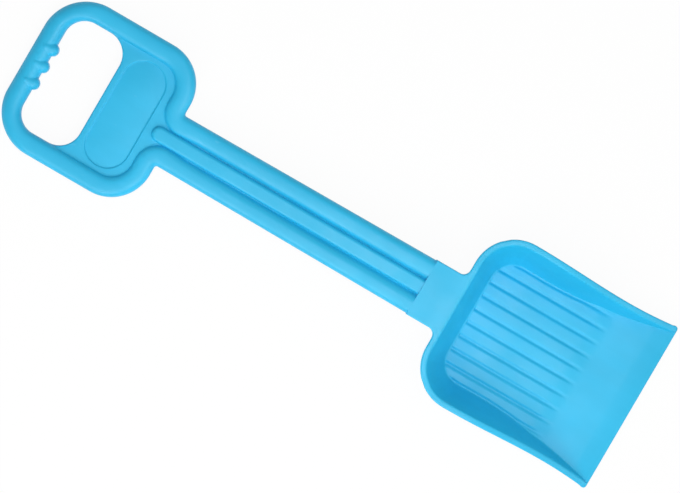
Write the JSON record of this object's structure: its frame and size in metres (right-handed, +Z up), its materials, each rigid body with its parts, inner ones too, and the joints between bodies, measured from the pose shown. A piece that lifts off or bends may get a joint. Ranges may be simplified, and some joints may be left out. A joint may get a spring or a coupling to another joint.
{
  "type": "sand shovel",
  "caption": "Long-handled child's sand shovel: a ribbed handle with a D grip, pushed into the sleeve of a deep scoop with a fluted floor.",
  "frame": {"origin": "on the ground under the middle of the shovel's box, as it lies with the scoop's hollow up", "axes": "+X along the handle from the grip to the digging edge, +Y across, +Z up"},
  "size_m": [0.5006, 0.1342, 0.0353],
  "materials": {
    "handle": "light blue moulded polypropylene, satin",
    "scoop": "light blue moulded polypropylene, satin"
  },
  "bodies": {
    "root": {"handle": "handle", "scoop": "scoop"}
  },
  "joints": []
}
